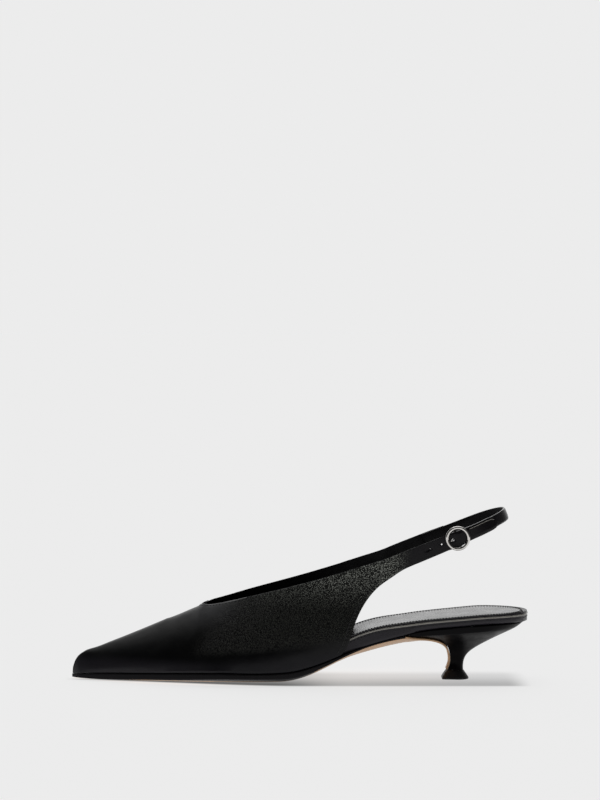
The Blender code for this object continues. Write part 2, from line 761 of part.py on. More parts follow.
def make_insole(collection, material):
    """Wrapped insole board: a rim with a shallow bed in it for the sock."""
    back = BACK_X + 0.0001
    tip = TIP_X - TOE_FILL - 2 * FIT_GAP - 0.0002
    bed = SOCK_THICKNESS + FIT_GAP
    bed_back, bed_tip = bed_ends()
    rings = []
    edge = [back, back + 0.16 * SOCK_BORDER, back + 0.5 * SOCK_BORDER, bed_back - 0.0004]
    end = [bed_tip + 0.0004, (bed_tip + tip) / 2, tip]
    for x in edge + bed_stations(bed_back, bed_tip) + end:
        wide = max(insole_half(x, 0), 0.0009)
        inner = insole_half(x, SOCK_BORDER)
        if x < bed_back or x > bed_tip:
            inner = 0.0
        top = insole_top(x)
        low = feather(x) + FIT_GAP
        sag = dish(x)
        full = half_width(x)
        ring = []
        for v in strip_profile(10):
            ring.append((x, middle(x) + wide * v, low - sag * (1 - (wide * v / full) ** 2)))
        soft = 0.0006
        ring.append((x, middle(x) + wide, top - soft))
        for v in (1, 0.999, 0.55, 0, -0.55, -0.999, -1):
            if abs(v) == 1:
                y = max(wide - soft, inner + 0.2 * (wide - inner)) * v
                z = top
            elif inner > 0:
                y = inner * v / 0.999
                z = top - bed
            else:
                y = (wide - soft) * 0.8 * v
                z = top
            z -= sag * 0.6 * (1 - (y / full) ** 2)
            ring.append((x, middle(x) + y, z))
        ring.append((x, middle(x) - wide, top - soft))
        rings.append(ring)
    return ring_solid("insole", rings, collection, material)


def bed_ends():
    """Back and front of the bed in the insole."""
    return BACK_X + SOCK_BORDER + 0.0007, TIP_X - TOE_FILL - 2.2 * SOCK_BORDER


def make_sock(collection, material):
    """Thin lining sock lying in the insole's bed."""
    back, tip = bed_ends()
    stations = bed_stations(back, tip)
    stations[0] += FIT_GAP
    stations[-1] -= FIT_GAP
    rings = []
    for x in stations:
        outer = half_width(x)
        wide = insole_half(x, SOCK_BORDER + FIT_GAP)
        top = insole_top(x)
        ring = []
        for lift, order in ((-SOCK_THICKNESS, 1), (0.0, -1)):
            for v in (-1, -0.55, 0, 0.55, 1):
                y = wide * v * order
                sag = 0.6 * dish(x) * (1 - (y / outer) ** 2)
                ring.append((x, middle(x) + y, top + lift - sag))
        rings.append(ring)
    return ring_solid("sock", rings, collection, material)


def strap_line():
    """(run, y, thickness) of the sling strap's middle, from the folded end at the buckle to the inner wing."""
    line = []
    bar_y = STRAP_MIDDLE - BAR_DEPTH
    tail_y = STRAP_MIDDLE - CHAPE_THICKNESS - STRAP_THICKNESS / 2 - FIT_GAP + CHAPE_THICKNESS / 2
    for share in (1.0, 0.75, 0.5):
        line.append((CHAPE_TAIL * share, tail_y, CHAPE_THICKNESS))
    for degrees in range(-75, -286, -30):
        angle = math.radians(degrees)
        line.append((BAR_DEPTH * math.cos(angle), bar_y + BAR_DEPTH * math.sin(angle), CHAPE_THICKNESS))
    depth = STRAP_BACK / math.cos(PITCH) - STRAP_THICKNESS / 2
    total = 2 * (depth - STRAP_MIDDLE) + math.pi * STRAP_MIDDLE
    for i in range(29):
        along = 0.0045 + (total + 0.018 - 0.0045) * i / 28
        run, y = loop_path(along, 0.0)
        line.append((run, y, STRAP_THICKNESS))
    return line


def make_strap(collection, material):
    line = strap_line()
    rings = []
    for i, (run, y, thick) in enumerate(line):
        before = line[max(i - 1, 0)]
        after = line[min(i + 1, len(line) - 1)]
        way = Vector((after[0] - before[0], after[1] - before[1])).normalized()
        normal = (-way.y, way.x)
        half = (STRAP_WIDTH + (STRAP_BACK_WIDTH - STRAP_WIDTH) * towards_back(run)) / 2
        soft = 0.35 * thick
        ring = []
        for side, up in (
            (1, half - soft),
            (1, -(half - soft)),
            (0.45, -half),
            (-0.45, -half),
            (-1, -(half - soft)),
            (-1, half - soft),
            (-0.45, half),
            (0.45, half),
        ):
            shift = side * thick / 2
            ring.append(strap_point(run + normal[0] * shift, y + normal[1] * shift, up))
        rings.append(ring)
    return ring_solid("sling_strap", rings, collection, material, 50)


def strap_frame():
    """Matrix from the strap's own axes (run, out, across) at the bar to the shoe."""
    origin = Vector(strap_point(0, STRAP_MIDDLE - BAR_DEPTH, 0))
    run = Vector((-math.cos(PITCH), 0, math.sin(PITCH)))
    across = Vector((math.sin(PITCH), 0, math.cos(PITCH)))
    out = Vector((0, 1, -SIDE_DROP / COLLAR_WIDTH)).normalized()
    frame = Matrix((run, out, across)).transposed().to_4x4()
    return Matrix.Translation(origin) @ frame


def boolean(obj, cutter, operation):
    cut = obj.modifiers.new(operation.lower(), "BOOLEAN")
    cut.operation = operation
    cut.object = cutter
    cut.solver = "EXACT"


def ring_offset():
    """From the bar out to the middle of the buckle's ring."""
    out = STRAP_MIDDLE + STRAP_THICKNESS / 2 + 2 * FIT_GAP + UPPER_WALL + BUCKLE_WIRE / 2
    return out - (STRAP_MIDDLE - BAR_DEPTH)


def make_buckle(collection, cutters, metal):
    """Round frame, with a bar carried on two short legs behind it."""
    bpy.ops.mesh.primitive_torus_add(
        major_segments=36,
        minor_segments=10,
        major_radius=RING_RADIUS,
        minor_radius=BUCKLE_WIRE / 2,
    )
    ring = bpy.context.object
    ring.name = "buckle_frame"
    ring.data.name = "buckle_frame"
    ring.data.materials.append(metal)
    frame = strap_frame()
    turn = Matrix.Rotation(math.radians(90), 4, "X")
    ring.matrix_world = frame @ Matrix.Translation((0, ring_offset(), 0)) @ turn
    points = [
        (0, ring_offset(), RING_RADIUS),
        (0, 0.35 * RING_RADIUS, RING_RADIUS),
        (0, 0.12 * RING_RADIUS, RING_RADIUS * 0.95),
        (0, 0, RING_RADIUS * 0.82),
        (0, 0, 0),
        (0, 0, -RING_RADIUS * 0.82),
        (0, 0.12 * RING_RADIUS, -RING_RADIUS * 0.95),
        (0, 0.35 * RING_RADIUS, -RING_RADIUS),
        (0, ring_offset(), -RING_RADIUS),
    ]
    bar = tube("buckle_bar", points, BAR_DIAMETER / 2, cutters, metal)
    bar.matrix_world = frame
    bar.hide_render = True
    bar.display_type = "WIRE"
    for owner in list(ring.users_collection):
        owner.objects.unlink(ring)
    collection.objects.link(ring)
    boolean(ring, bar, "UNION")
    ring.data.shade_smooth()
    return ring


def tube(name, points, radius, collection, material):
    """Round wire through the points, as a welded mesh."""
    curve = bpy.data.curves.new(name, "CURVE")
    curve.dimensions = "3D"
    curve.bevel_depth = radius
    curve.bevel_resolution = 2
    curve.use_fill_caps = True
    spline = curve.splines.new("POLY")
    spline.points.add(len(points) - 1)
    for knot, point in zip(spline.points, points):
        knot.co = (*point, 1)
    carrier = bpy.data.objects.new(name, curve)
    bpy.context.scene.collection.objects.link(carrier)
    bpy.context.view_layer.update()
    graph = bpy.context.evaluated_depsgraph_get()
    mesh = bpy.data.meshes.new_from_object(carrier.evaluated_get(graph))
    mesh.name = name
    bpy.data.objects.remove(carrier)
    bm = bmesh.new()
    bm.from_mesh(mesh)
    bmesh.ops.remove_doubles(bm, verts=bm.verts, dist=1e-6)
    bmesh.ops.recalc_face_normals(bm, faces=bm.faces)
    bm.to_mesh(mesh)
    bm.free()
    mesh.materials.clear()
    mesh.materials.append(material)
    mesh.shade_smooth()
    obj = bpy.data.objects.new(name, mesh)
    collection.objects.link(obj)
    return obj


def make_prong(collection, metal):
    """Pin that is curled round the bar and comes out through the tab's hole."""
    radius = BAR_DIAMETER / 2 + FIT_GAP + PRONG_DIAMETER / 2
    points = []
    for degrees in range(-150, 121, 30):
        angle = math.radians(degrees)
        points.append((radius * math.cos(angle), radius * math.sin(angle), 0))
    hole = prong_hole()
    tab = ring_offset() - BUCKLE_WIRE / 2 - FIT_GAP - UPPER_WALL / 2
    tip = -(RING_RADIUS - BUCKLE_WIRE / 2 - FIT_GAP - PRONG_DIAMETER / 2)
    points.append((hole * 0.62, radius * 0.80, 0))
    points.append((hole * 0.92, tab - UPPER_WALL, 0))
    points.append((hole, tab, 0))
    points.append((hole * 1.06, tab + UPPER_WALL * 0.8, 0))
    points.append((hole + (tip - hole) * 0.5, ring_offset() - 0.0001, 0))
    points.append((tip, ring_offset(), 0))
    prong = tube("buckle_prong", points, PRONG_DIAMETER / 2, collection, metal)
    prong.matrix_world = strap_frame()
    return prong


def prong_hole():
    """Run of the tab's hole that the prong uses, ahead of the bar."""
    return -0.4 * HOLE_PITCH


def cut_tab_holes(upper, cutters):
    """Three holes along the outer wing's strap end."""
    frame = strap_frame()
    deep = STRAP_MIDDLE + STRAP_THICKNESS / 2 + FIT_GAP + UPPER_WALL / 2 - (STRAP_MIDDLE - BAR_DEPTH)
    for i in range(3):
        bpy.ops.mesh.primitive_cylinder_add(vertices=12, radius=HOLE_RADIUS, depth=3 * UPPER_WALL)
        hole = bpy.context.object
        hole.name = "tab_hole_%d" % (i + 1)
        turn = Matrix.Rotation(math.radians(90), 4, "X")
        run = prong_hole() - HOLE_PITCH * i
        hole.matrix_world = frame @ Matrix.Translation((run, deep, 0)) @ turn
        hide_cutter(hole, cutters)
        boolean(upper, hole, "DIFFERENCE")


def cut_chape_slot(strap, cutters):
    """Slot in the fold for the prong's eye."""
    frame = strap_frame()
    eye = BAR_DIAMETER / 2 + 2 * FIT_GAP + PRONG_DIAMETER
    bpy.ops.mesh.primitive_cube_add(size=1)
    slot = bpy.context.object
    slot.name = "chape_slot"
    slot.scale = (2 * eye + 0.0012, 2 * eye + 4 * FIT_GAP, PRONG_DIAMETER + 2 * FIT_GAP)
    bpy.ops.object.transform_apply(location=False, rotation=False, scale=True)
    slot.matrix_world = frame @ Matrix.Translation((-0.0006, 0, 0))
    hide_cutter(slot, cutters)
    boolean(strap, slot, "DIFFERENCE")


def hide_cutter(obj, cutters):
    obj.hide_render = True
    obj.display_type = "WIRE"
    for owner in list(obj.users_collection):
        owner.objects.unlink(obj)
    cutters.objects.link(obj)


def main():
    for obj in list(bpy.data.objects):
        bpy.data.objects.remove(obj, do_unlink=True)
    scene = bpy.context.scene
    shoe = bpy.data.collections.new("slingback_pump")
    cutters = bpy.data.collections.new("cutters")
    scene.collection.children.link(shoe)
    scene.collection.children.link(cutters)

    leather = new_material("upper_leather", (0.010, 0.010, 0.011), 0.38)
    strap_leather = new_material("strap_leather", (0.011, 0.010, 0.012), 0.35)
    rand = new_material("rand_leather", (0.012, 0.012, 0.014), 0.32)
    lining = new_material("sock_leather", (0.035, 0.035, 0.037), 0.28)
    cover = new_material("heel_cover", (0.013, 0.012, 0.014), 0.36)
    tan = new_material("sole_leather", (0.60, 0.40, 0.25), 0.48)
    rubber = new_material("top_piece_rubber", (0.010, 0.010, 0.010), 0.50)
    silver = new_material("buckle_metal", (0.80, 0.79, 0.77), 0.15, 1.0)
    pin = new_material("prong_metal", (0.80, 0.79, 0.77), 0.18, 1.0)

    upper = make_upper(shoe, leather)
    strap = make_strap(shoe, strap_leather)
    make_insole(shoe, rand)
    make_sock(shoe, lining)
    make_outsole(shoe, tan)
    make_heel(shoe, cover)
    make_top_piece(shoe, rubber)
    make_buckle(shoe, cutters, silver)
    make_prong(shoe, pin)
    cut_tab_holes(upper, cutters)
    cut_chape_slot(strap, cutters)


main()
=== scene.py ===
"""Looks of the slingback pump: grained leather, seams, piping, threads, polished buckle and a pale studio."""

import json
import math

import bmesh
import bpy
from bpy.props import FloatProperty, FloatVectorProperty, PointerProperty
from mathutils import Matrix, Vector
from mathutils.bvhtree import BVHTree

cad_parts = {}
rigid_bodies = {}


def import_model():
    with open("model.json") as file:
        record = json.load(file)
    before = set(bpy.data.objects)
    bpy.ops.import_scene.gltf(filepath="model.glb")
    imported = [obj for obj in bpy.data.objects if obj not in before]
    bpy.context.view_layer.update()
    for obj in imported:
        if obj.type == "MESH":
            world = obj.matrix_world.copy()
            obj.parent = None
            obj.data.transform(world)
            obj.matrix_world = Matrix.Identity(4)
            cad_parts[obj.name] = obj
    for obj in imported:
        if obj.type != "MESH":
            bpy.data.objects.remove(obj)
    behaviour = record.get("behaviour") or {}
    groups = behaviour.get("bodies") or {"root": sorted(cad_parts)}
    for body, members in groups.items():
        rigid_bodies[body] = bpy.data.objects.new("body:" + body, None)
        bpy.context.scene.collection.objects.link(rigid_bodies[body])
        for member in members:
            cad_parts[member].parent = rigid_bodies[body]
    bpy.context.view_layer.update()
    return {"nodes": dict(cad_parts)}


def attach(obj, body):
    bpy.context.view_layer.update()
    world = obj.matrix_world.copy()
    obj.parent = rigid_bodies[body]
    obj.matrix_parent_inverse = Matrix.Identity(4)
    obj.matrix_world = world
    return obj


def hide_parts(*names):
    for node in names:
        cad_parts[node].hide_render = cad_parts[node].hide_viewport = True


bl_info = {
    "name": "Slingback Pump Looks",
    "version": (1, 1, 0),
    "blender": (4, 5, 0),
    "location": "View3D > Sidebar > Slingback",
    "description": "Dresses a slingback pump in leather, thread and polished metal",
    "category": "Object",
}

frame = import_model()

DOWN = Vector((0, 0, -1))
ABOVE = Vector((0, 0, 0.2))  # from here rays start down on the shoe
BESIDE = 0.08  # from this far out rays start towards its sides
STRAP_CLIMB = 0.385  # climb of tab and strap towards the back
STRAP_LEVEL = 0.0820  # height of their middle over the heel
OUTER_SIDE = 0.012  # past this the tab and the strap lie on the outer side
SOLE_BREAST = 0.029  # ahead of this the sole's edge is painted
PUNCH_WIDTH = 0.0014  # width of the holes as they are punched in the tab


def colour(name, description, default):
    return FloatVectorProperty(
        name=name,
        description=description,
        subtype="COLOR",
        size=3,
        min=0.0,
        max=1.0,
        default=default,
    )


def length(name, description, default):
    return FloatProperty(
        name=name, description=description, subtype="DISTANCE", unit="LENGTH", default=default
    )


def light(name, description, default):
    return FloatProperty(name=name, description=description, default=default)


class LeatherSettings(bpy.types.PropertyGroup):
    """Colours and grain of the black leathers, some colours being painted sparkle, sheen, highlight and
    reflection
    """

    toe_colour: colour("Toe Colour", "Upper where it is lasted smooth over the toe", (0.0030, 0.0030, 0.0033))
    # Painted sparkle: the standing grain made lighter for the light its pebbles catch
    grain_sparkle_colour: colour("Grain Colour", "Upper where its grain is left standing", (0.0095, 0.0100, 0.0080))
    # Painted sparkle, lighter still high on the wings, where the grain catches more light
    wing_sparkle_colour: colour("Wing Colour", "Grained upper high on the wings", (0.125, 0.130, 0.117))
    # Painted reflection: a lighter, bluish tone along the sole for the floor mirrored in the low wall
    low_reflection_colour: colour("Low Colour", "Upper along the sole", (0.0040, 0.0036, 0.0060))
    # Painted sheen on the lower half of the toe
    sheen_colour: colour("Sheen Colour", "Lower half of the toe", (0.0190, 0.0176, 0.0212))
    # Painted highlight just ahead of the throat, where the vamp's crest faces the light
    throat_highlight_colour: colour("Throat Colour", "Rubbed leather just ahead of the throat", (0.024, 0.024, 0.027))
    tab_colour: colour("Tab Colour", "Smooth tab and sling strap", (0.0072, 0.0063, 0.0080))
    rand_colour: colour("Rand Colour", "Wrapped edge of the insole", (0.019, 0.017, 0.022))
    heel_colour: colour("Heel Colour", "Cover of the heel", (0.0018, 0.0015, 0.0020))
    lining_colour: colour("Lining Colour", "Lining inside the upper", (0.0042, 0.0038, 0.0046))
    sock_colour: colour("Sock Colour", "Glazed sock under the foot", (0.020, 0.020, 0.022))
    pebble: length("Pebble Size", "Width of one pebble of the upper's grain", 0.00062)
    pebble_depth: length("Pebble Depth", "Height of the upper's grain", 0.00042)
    smooth_toe: length("Smooth Toe From", "Where along the shoe, at floor height, the grain ends", 0.163)
    smooth_tab: length("Smooth Tab From", "Where the wing runs out into the smooth tab", 0.0265)
    smooth_low: length("Smooth Band", "Height above the floor of the smooth band along the sole", 0.0325)


class SoleSettings(bpy.types.PropertyGroup):
    """Finish of the sole and the heel"""

    tan_colour: colour("Sole Colour", "Bare sole leather", (0.58, 0.36, 0.20))
    # Black paint on the sole's edge, also painted shade on the underside's rounding under the forepart
    edge_and_shade_colour: colour("Edge Paint", "Paint on the sole's edge", (0.010, 0.0092, 0.0105))
    rubber_colour: colour("Top Piece Colour", "Rubber under the heel", (0.008, 0.008, 0.008))


class ThreadSettings(bpy.types.PropertyGroup):
    """Seams and piping along the edges"""

    thread_colour: colour("Thread Colour", "Black sewing thread", (0.004, 0.004, 0.004))
    # Pale colour of the piping and the tab's fold: a painted highlight along these edges
    piping_highlight_colour: colour("Piping Colour", "Waxed piping round the insole", (0.27, 0.26, 0.235))
    pitch: length("Stitch Pitch", "Distance from one stitch to the next", 0.0021)
    thickness: length("Thread Thickness", "Diameter of the sewing thread", 0.00040)
    margin: length("Margin", "Distance of a seam from the topline it follows", 0.0017)
    wing_margin: length("Wing Margin", "Distance of the seam from the wing's rear edge", 0.0022)
    piping: length("Piping Thickness", "Diameter of the piping round the insole", 0.0012)
    piping_drop: length("Piping Drop", "How far the piping lies below the insole's upper edge", 0.0013)
    rand_seam: length("Rand Seam Drop", "How far the rand's seam lies below the insole's edge", 0.0029)
    fold_drop: length("Fold Drop", "How far the tab's pressed fold lies below its upper edge", 0.0014)
    sock_margin: length("Sock Margin", "Distance of the sock's seam from the insole's edge", 0.0034)
    sock_pitch: length("Sock Pitch", "Distance from one stitch of the sock's seam to the next", 0.0017)


class BuckleSettings(bpy.types.PropertyGroup):
    """Polished round buckle and the punched holes beside it"""

    silver: colour("Metal Colour", "Polished metal", (0.72, 0.70, 0.67))
    hole: length("Hole Width", "Open width of the hole next to the buckle, inside its pressed lip", 0.0008)
    tight_hole: length("Tight Hole Width", "Open width of the hole that was never used", 0.0002)


class StudioSettings(bpy.types.PropertyGroup):
    """Floor, light and camera"""

    floor_colour: colour("Floor Colour", "Plain floor", (0.25, 0.25, 0.25))
    floor_glow: light("Floor Glow", "Light that the pale floor gives of itself, for soft shadows", 0.739)
    backdrop: light("Backdrop Light", "Brightness of the backdrop", 0.839)
    overhead: light("Overhead Light", "Brightness of the light above and behind", 1.3)
    sides: light("Side Light", "Brightness of the studio beside the backdrop", 0.12)
    front: light("Front Light", "Brightness of the dark side of the studio", 0.03)
    # Reach of the painted shadow on the floor towards the camera
    shade_width: length("Shade Width", "How far the floor is shaded towards the camera", 0.032)
    camera_distance: length("Camera Distance", "Distance of the camera from the shoe's middle line", 1.5)


def deselect():
    """Leaves nothing selected."""
    for obj in bpy.context.view_layer.objects:
        obj.select_set(False)


def activate(obj):
    """Selects the object alone."""
    deselect()
    bpy.context.view_layer.objects.active = obj
    obj.select_set(True)


def apply_modifier(obj, name):
    activate(obj)
    bpy.ops.object.modifier_apply(modifier=name)


def skin_of(node, name, sharp, crease, levels):
    """Smooth skin grown from a CAD solid: welded, in quads, creased at its edges and subdivided."""
    skin = bpy.data.objects.new(name, frame["nodes"][node].data.copy())
    bpy.context.scene.collection.objects.link(skin)
    skin.data.materials.clear()
    activate(skin)
    bpy.ops.object.mode_set(mode="EDIT")
    bpy.ops.mesh.select_mode(type="EDGE")
    bpy.ops.mesh.select_all(action="SELECT")
    bpy.ops.mesh.remove_doubles(threshold=0.00001)
    bpy.ops.mesh.tris_convert_to_quads(face_threshold=math.radians(28), shape_threshold=math.radians(70))
    bpy.ops.mesh.select_all(action="DESELECT")
    bpy.ops.mesh.edges_select_sharp(sharpness=math.radians(sharp))
    bpy.ops.transform.edge_crease(value=crease)
    bpy.ops.object.mode_set(mode="OBJECT")
    smooth = skin.modifiers.new("smooth", "SUBSURF")
    smooth.levels = levels
    smooth.render_levels = levels
    apply_modifier(skin, "smooth")
    bpy.ops.object.shade_smooth()
    return skin


def cover(piece, *materials):
    """Gives the piece its materials, one slot each."""
    for material in materials:
        piece.data.materials.append(material)


def paint(obj, index, chosen):
    """Gives a material slot to the faces that chosen(centre, normal) picks."""
    for face in obj.data.polygons:
        if chosen(face.center, face.normal):
            face.material_index = index


def strap_height(x):
    """Height of the middle of tab and strap at a place along the shoe."""
    return STRAP_LEVEL - STRAP_CLIMB * x


def press_down(obj, deep):
    """Lets the strap sag under the buckle, where it is pulled through."""
    for vertex in obj.data.vertices:
        place = vertex.co
        if place.y < OUTER_SIDE or not -0.014 < place.x < 0.012:
            continue
        below = (strap_height(place.x) - place.z) / 0.0037
        share = min(max(below, 0.0), 1.0) ** 2
        place.z -= deep * share * math.exp(-(((place.x + 0.0012) / 0.0032) ** 2))


def dress(piece, node=None):
    """Hangs the piece on the shoe and, where a node is named, lets it stand for that node."""
    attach(piece, "root")
    if node:
        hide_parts(node)


def surface_of(name):
    """Search tree of a finished piece's faces."""
    mesh = bpy.data.objects[name].data
    faces = [tuple(face.vertices) for face in mesh.polygons]
    return BVHTree.FromPolygons([vertex.co for vertex in mesh.vertices], faces)


def last_within(inside, near, far):
    """The place between near, which is inside, and far, which isn't, where inside ends."""
    for _ in range(22):
        middle = (near + far) / 2
        if inside(middle):
            near = middle
        else:
            far = middle
    return near


class NodeTree:
    """Short way to add and join nodes of one material."""

    def __init__(self, name):
        self.material = bpy.data.materials.new(name)
        self.material.use_nodes = True
        self.tree = self.material.node_tree
        self.shader = self.tree.nodes["Principled BSDF"]

    def add(self, kind, **values):
        node = self.tree.nodes.new(kind)
        for key, value in values.items():
            setattr(node, key, value)
        return node

    def join(self, source, target):
        self.tree.links.new(source, target)

    def place(self):
        return self.add("ShaderNodeTexCoord").outputs["Object"]

    def noise(self, scale, detail=2.0, vector=None):
        node = self.add("ShaderNodeTexNoise")
        node.inputs["Scale"].default_value = scale
        node.inputs["Detail"].default_value = detail
        self.join(vector or self.place(), node.inputs["Vector"])
        return node.outputs["Fac"]

    def spread(self, value, low, high, to_low, to_high):
        node = self.add("ShaderNodeMapRange", interpolation_type="SMOOTHSTEP")
        for name, number in (("From Min", low), ("From Max", high), ("To Min", to_low), ("To Max", to_high)):
            node.inputs[name].default_value = number
        self.join(value, node.inputs["Value"])
        return node.outputs["Result"]

    def math(self, operation, first, second):
        node = self.add("ShaderNodeMath", operation=operation)
        for socket, value in zip(node.inputs, (first, second)):
            if isinstance(value, (int, float)):
                socket.default_value = value
            else:
                self.join(value, socket)
        return node.outputs["Value"]

    def product(self, first, *others):
        """Multiplies numbers or outputs of nodes."""
        for other in others:
            first = self.math("MULTIPLY", first, other)
        return first

    def blend(self, factor, first, second):
        """Mixes two colours, each a colour or the output of a node."""
        node = self.add("ShaderNodeMix", data_type="RGBA")
        self.join(factor, node.inputs["Factor"])
        for socket, shade in ((node.inputs[6], first), (node.inputs[7], second)):
            if isinstance(shade, tuple):
                socket.default_value = (*shade, 1.0)
            else:
                self.join(shade, socket)
        return node.outputs[2]

    def bump(self, height, distance, under=None):
        node = self.add("ShaderNodeBump")
        node.inputs["Distance"].default_value = distance
        self.join(height, node.inputs["Height"])
        if under:
            self.join(under, node.inputs["Normal"])
        return node.outputs["Normal"]

    def set(self, **sockets):
        for name, value in sockets.items():
            self.shader.inputs[name.replace("_", " ")].default_value = value


def times(shade, factor):
    return tuple(min(channel * factor, 1.0) for channel in shade)


def grained_leather(name, look):
    """Upper leather: pebbled on the sides, lasted smooth over the toe, along the sole and towards the tab;
    its colour holds painted sparkle, sheen, a highlight and a reflection.
    """
    tree = NodeTree(name)
    place = tree.place()
    axes = tree.add("ShaderNodeSeparateXYZ")
    tree.join(place, axes.inputs["Vector"])
    warp = tree.add("ShaderNodeTexNoise")
    warp.inputs["Scale"].default_value = 0.4 / look.pebble
    tree.join(place, warp.inputs["Vector"])
    push = tree.add("ShaderNodeVectorMath", operation="SCALE")
    tree.join(warp.outputs["Color"], push.inputs[0])
    push.inputs["Scale"].default_value = look.pebble * 1.3
    moved = tree.add("ShaderNodeVectorMath", operation="ADD")
    tree.join(place, moved.inputs[0])
    tree.join(push.outputs["Vector"], moved.inputs[1])
    cells = tree.add("ShaderNodeTexVoronoi", feature="SMOOTH_F1")
    cells.inputs["Scale"].default_value = 1 / look.pebble
    cells.inputs["Smoothness"].default_value = 0.25
    tree.join(moved.outputs["Vector"], cells.inputs["Vector"])
    pebbles = tree.spread(cells.outputs["Distance"], 0.12, 0.75, 1.0, 0.0)
    fine = tree.noise(1 / (0.5 * look.pebble), 3.0, place)
    grain = tree.math("ADD", pebbles, tree.product(fine, 0.6))
    patchy = tree.spread(tree.noise(60.0, 2.0, place), 0.35, 0.65, 0.75, 1.15)
    leaning = tree.math("ADD", axes.outputs["X"], tree.product(axes.outputs["Z"], 0.85))
    rear = tree.spread(leaning, look.smooth_toe - 0.018, look.smooth_toe + 0.010, 1.0, 0.0)
    ahead = tree.spread(axes.outputs["X"], look.smooth_tab - 0.004, look.smooth_tab + 0.012, 0.0, 1.0)
    slanted = tree.math("ADD", axes.outputs["Z"], tree.product(axes.outputs["X"], 0.10))
    high = tree.spread(slanted, look.smooth_low - 0.004, look.smooth_low + 0.003, 0.0, 1.0)
    standing = tree.product(rear, high, ahead)
    mask = tree.product(tree.math("MAXIMUM", standing, 0.03), patchy)
    skin = tree.bump(tree.product(grain, mask), look.pebble_depth)
    soft = tree.bump(tree.noise(48.0, 2.0, place), 0.0006, skin)
    tree.join(soft, tree.shader.inputs["Normal"])
    # Painted reflection of the floor: a lighter, bluish tone along the sole
    low = tree.spread(slanted, look.smooth_low - 0.012, look.smooth_low - 0.003, 1.0, 0.0)
    base = tree.blend(low, tuple(look.toe_colour), tuple(look.low_reflection_colour))
    # Painted sheen: lighter, purplish lower half of the toe
    toe = tree.spread(axes.outputs["X"], 0.120, 0.165, 0.0, 1.0)
    sheen = tree.product(toe, tree.spread(axes.outputs["Z"], 0.009, 0.0155, 1.0, 0.0))
    base = tree.blend(sheen, base, tuple(look.sheen_colour))
    # Painted highlight on the vamp's crest just ahead of the throat
    throat_highlight = tree.product(
        tree.spread(axes.outputs["X"], 0.116, 0.138, 0.0, 1.0),
        tree.spread(axes.outputs["X"], 0.146, 0.176, 1.0, 0.0),
        tree.spread(axes.outputs["Z"], 0.028, 0.043, 0.0, 1.0),
    )
    base = tree.blend(throat_highlight, base, tuple(look.throat_highlight_colour))
    # Painted sparkle: the grain lighter high on the wings and on each pebble's top, for the light it catches;
    # the pebbles' relief is the real grain
    high_sparkle = tree.spread(axes.outputs["Z"], 0.040, 0.068, 0.0, 1.0)
    side = tree.blend(high_sparkle, tuple(look.grain_sparkle_colour), tuple(look.wing_sparkle_colour))
    pebble_glint = tree.add("ShaderNodeVectorMath", operation="SCALE")
    tree.join(side, pebble_glint.inputs[0])
    tree.join(tree.spread(grain, 0.55, 1.15, 0.1, 3.7), pebble_glint.inputs["Scale"])
    base = tree.blend(standing, base, pebble_glint.outputs["Vector"])
    base = tree.blend(ahead, tuple(look.tab_colour), base)
    tree.join(base, tree.shader.inputs["Base Color"])
    dull = tree.spread(tree.noise(120.0, 3.0, place), 0.3, 0.7, 0.30, 0.38)
    tree.join(tree.math("ADD", dull, tree.product(standing, 0.06)), tree.shader.inputs["Roughness"])
    tree.set(Specular_IOR_Level=0.17, Coat_Weight=0.03, Coat_Roughness=0.16)
    return tree.material


def smooth_leather(name, shade, gloss, wave=0.0004, pores=0.00003, coat=0.08, shine=0.26):
    """Fine leather with faint pores, slight waviness and an uneven sheen from wear."""
    tree = NodeTree(name)
    place = tree.place()
    skin = tree.bump(tree.noise(2600.0, 2.0, place), pores)
    soft = tree.bump(tree.noise(70.0, 2.0, place), wave, skin)
    tree.join(soft, tree.shader.inputs["Normal"])
    cloudy = tree.noise(160.0, 3.0, place)
    tree.join(tree.blend(cloudy, times(shade, 0.75), times(shade, 1.3)), tree.shader.inputs["Base Color"])
    tree.join(tree.spread(cloudy, 0.3, 0.7, gloss * 0.85, gloss * 1.2), tree.shader.inputs["Roughness"])
    tree.set(Specular_IOR_Level=shine, Coat_Weight=coat, Coat_Roughness=0.18)
    return tree.material


def sole_leather(name, shade):
    """Bare tan sole leather with long faint fibres and scuffs."""
    tree = NodeTree(name)
    place = tree.place()
    stretch = tree.add("ShaderNodeMapping")
    stretch.inputs["Scale"].default_value = (60.0, 420.0, 420.0)
    tree.join(place, stretch.inputs["Vector"])
    fibre = tree.noise(1.0, 4.0, stretch.outputs["Vector"])
    cloud = tree.noise(70.0, 3.0, place)
    both = tree.math("ADD", tree.product(fibre, 0.5), tree.product(cloud, 0.5))
    tone = tree.blend(tree.spread(both, 0.35, 0.65, 0.0, 1.0), times(shade, 0.86), times(shade, 1.12))
    tree.join(tone, tree.shader.inputs["Base Color"])
    tree.join(tree.bump(fibre, 0.00005), tree.shader.inputs["Normal"])
    tree.join(tree.spread(cloud, 0.3, 0.7, 0.38, 0.52), tree.shader.inputs["Roughness"])
    return tree.material


def rubber(name, shade):
    """Dull rubber with a fine even tooth."""
    tree = NodeTree(name)
    place = tree.place()
    speck = tree.noise(3000.0, 2.0, place)
    tone = tree.blend(tree.noise(400.0, 2.0, place), times(shade, 0.8), times(shade, 1.3))
    tree.join(tone, tree.shader.inputs["Base Color"])
    tree.join(tree.bump(speck, 0.00003), tree.shader.inputs["Normal"])
    tree.join(tree.spread(speck, 0.3, 0.7, 0.42, 0.55), tree.shader.inputs["Roughness"])
    return tree.material


